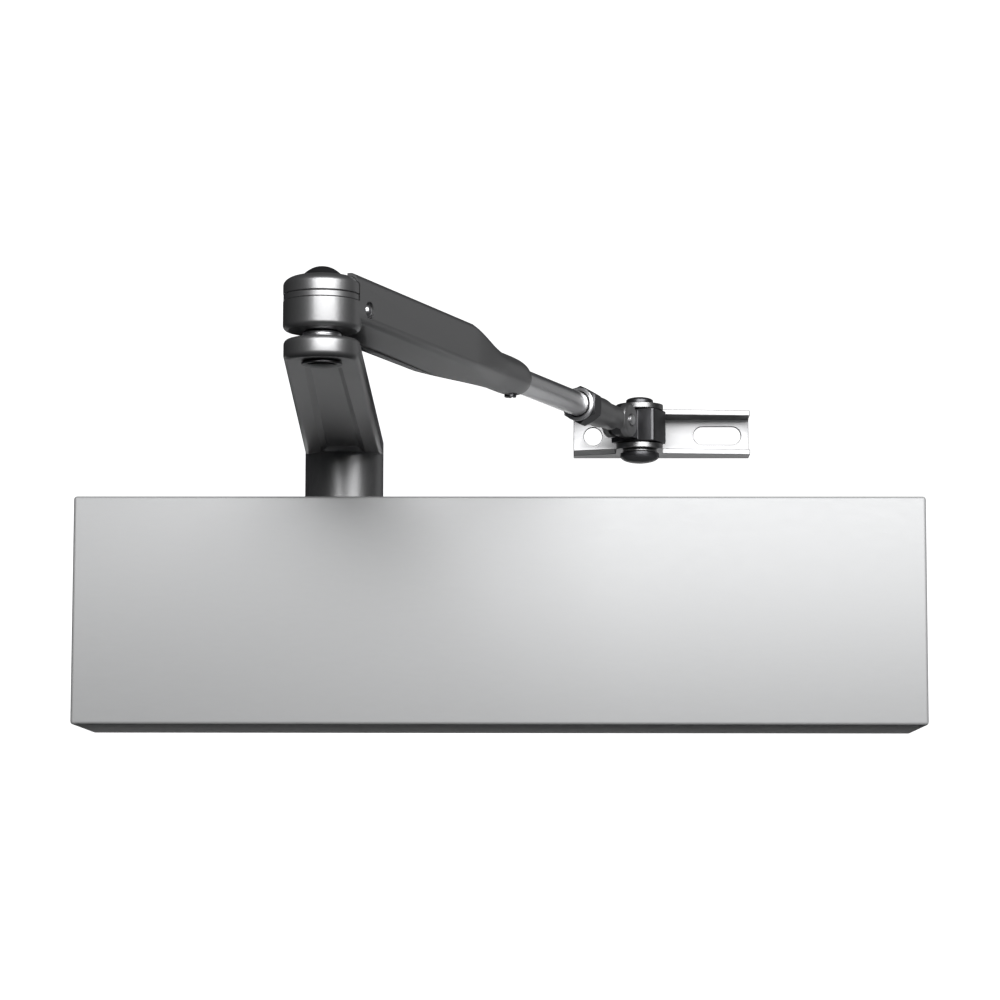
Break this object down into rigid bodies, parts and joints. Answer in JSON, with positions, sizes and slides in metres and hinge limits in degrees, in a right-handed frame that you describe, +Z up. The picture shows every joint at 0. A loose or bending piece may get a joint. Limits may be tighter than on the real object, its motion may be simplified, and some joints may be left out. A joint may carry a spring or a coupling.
{
  "type": "door closer",
  "caption": "Surface-mounted rack-and-pinion door closer under a plain slide-off metal cover, with a folding two-part arm and a frame shoe.",
  "frame": {"origin": "centre of the mounting plate's back face, level with the middle of the cover", "axes": "+X to the right along the cover as seen from the room, +Y into the door that the closer is fixed to, +Z up along the spindle"},
  "size_m": [0.3, 0.2566, 0.1272],
  "materials": {
    "silver": "satin, finely brushed",
    "cast": "grey casting, satin",
    "arm": "dark metallic grey, satin",
    "zinc": "bright zinc plate",
    "steel": "machined",
    "brass": "machined",
    "rubber": "matt black"
  },
  "bodies": {
    "closer_body": {"closer_housing": "cast", "mounting_plate": "steel", "body_screw_1": "steel", "body_screw_2": "steel", "body_screw_3": "steel", "body_screw_4": "steel", "cover_clip_left": "steel", "cover_clip_right": "steel", "end_cap_left": "steel", "end_cap_right": "steel", "end_cap_seal_left": "rubber", "end_cap_seal_right": "rubber", "upper_bearing": "brass", "lower_bearing": "brass", "upper_seal": "rubber", "lower_seal": "rubber", "spindle_nut": "steel", "lower_plug": "steel", "main_spring": "steel"},
    "cover": {"cover": "silver"},
    "main_arm": {"pinion": "steel", "main_arm": "arm", "arm_screw": "zinc", "arm_washer": "zinc", "elbow_pin": "arm", "elbow_washer": "arm", "elbow_bush": "zinc"},
    "piston": {"piston": "steel", "piston_seal": "rubber", "check_valve": "brass"},
    "spring_seat": {"spring_seat": "steel"},
    "power_screw": {"power_adjust_screw": "steel"},
    "closing_valve": {"closing_speed_valve": "brass"},
    "latching_valve": {"latching_speed_valve": "brass"},
    "backcheck_valve": {"backcheck_valve": "brass"},
    "forearm": {"forearm_sleeve": "arm", "elbow_ring": "arm", "elbow_cap": "arm", "forearm_pin": "zinc"},
    "clamp_screw": {"clamp_screw": "arm"},
    "adjusting_rod": {"adjusting_rod": "zinc", "rod_end": "arm"},
    "lock_nut": {"lock_nut": "arm"},
    "swivel": {"swivel_block": "arm", "cross_pin": "zinc"},
    "shoe": {"shoe_bracket": "zinc", "shoe_rivet": "arm", "shoe_washer": "arm"}
  },
  "joints": [
    {"name": "spindle", "type": "hinge", "parent": "closer_body", "child": "main_arm", "pos_m": [-0.0564, -0.0294, 0], "axis": [0, 0, 1], "range_deg": [0, 170], "stiffness_Nm_per_rad": 4, "springref_deg": -143.24},
    {"name": "piston_slide", "type": "slide", "parent": "closer_body", "child": "piston", "axis": [1, 0, 0], "range_m": [0, 0.0298], "deforming": ["main_spring"]},
    {"name": "cover_pull", "type": "slide", "parent": "closer_body", "child": "cover", "axis": [0, -1, 0], "range_m": [0, 0.07]},
    {"name": "power_adjust", "type": "hinge", "parent": "closer_body", "child": "power_screw", "pos_m": [0.1238, -0.0294, 0], "axis": [1, 0, 0], "range_deg": [0, 1800]},
    {"name": "spring_seat_slide", "type": "slide", "parent": "closer_body", "child": "spring_seat", "axis": [1, 0, 0], "range_m": [-0.0075, 0]},
    {"name": "closing_speed_turn", "type": "hinge", "parent": "closer_body", "child": "closing_valve", "pos_m": [-0.1, -0.0534, 0.0226], "axis": [0, -1, 0], "range_deg": [-90, 360]},
    {"name": "latching_speed_turn", "type": "hinge", "parent": "closer_body", "child": "latching_valve", "pos_m": [-0.086, -0.0534, 0.0226], "axis": [0, -1, 0], "range_deg": [-90, 360]},
    {"name": "backcheck_turn", "type": "hinge", "parent": "closer_body", "child": "backcheck_valve", "pos_m": [-0.014, -0.0534, 0.0226], "axis": [0, -1, 0], "range_deg": [-90, 360]},
    {"name": "elbow", "type": "hinge", "parent": "main_arm", "child": "forearm", "pos_m": [-0.05012, -0.24491, 0.066], "axis": [0, 0, 1], "range_deg": [-150, 12]},
    {"name": "clamp_turn", "type": "hinge", "parent": "forearm", "child": "clamp_screw", "pos_m": [0.00475, -0.12493, 0.07239], "axis": [0.0133, 0.029, 0.9995], "range_deg": [0, 360]},
    {"name": "rod_slide", "type": "slide", "parent": "forearm", "child": "adjusting_rod", "axis": [0.4157, 0.909, -0.0319], "range_m": [-0.03, 0.03]},
    {"name": "lock_nut_turn", "type": "hinge", "parent": "adjusting_rod", "child": "lock_nut", "pos_m": [0.02898, -0.07193, 0.07052], "axis": [0.4157, 0.909, -0.0319], "range_deg": [0, 360]},
    {"name": "rod_tilt", "type": "hinge", "parent": "adjusting_rod", "child": "swivel", "pos_m": [0.04266, -0.04203, 0.06947], "axis": [0.9094, -0.4159, 0], "range_deg": [-12, 12]},
    {"name": "shoe_pivot", "type": "hinge", "parent": "swivel", "child": "shoe", "pos_m": [0.05041, -0.02508, 0.0694], "axis": [0, 0, 1], "range_deg": [-100, 60]}
  ],
  "couplings": [
    {"joint": "piston_slide", "follows": "spindle", "m_per_rad": 0.01},
    {"joint": "power_adjust", "follows": "spring_seat_slide", "rad_per_m": -4188.8}
  ]
}
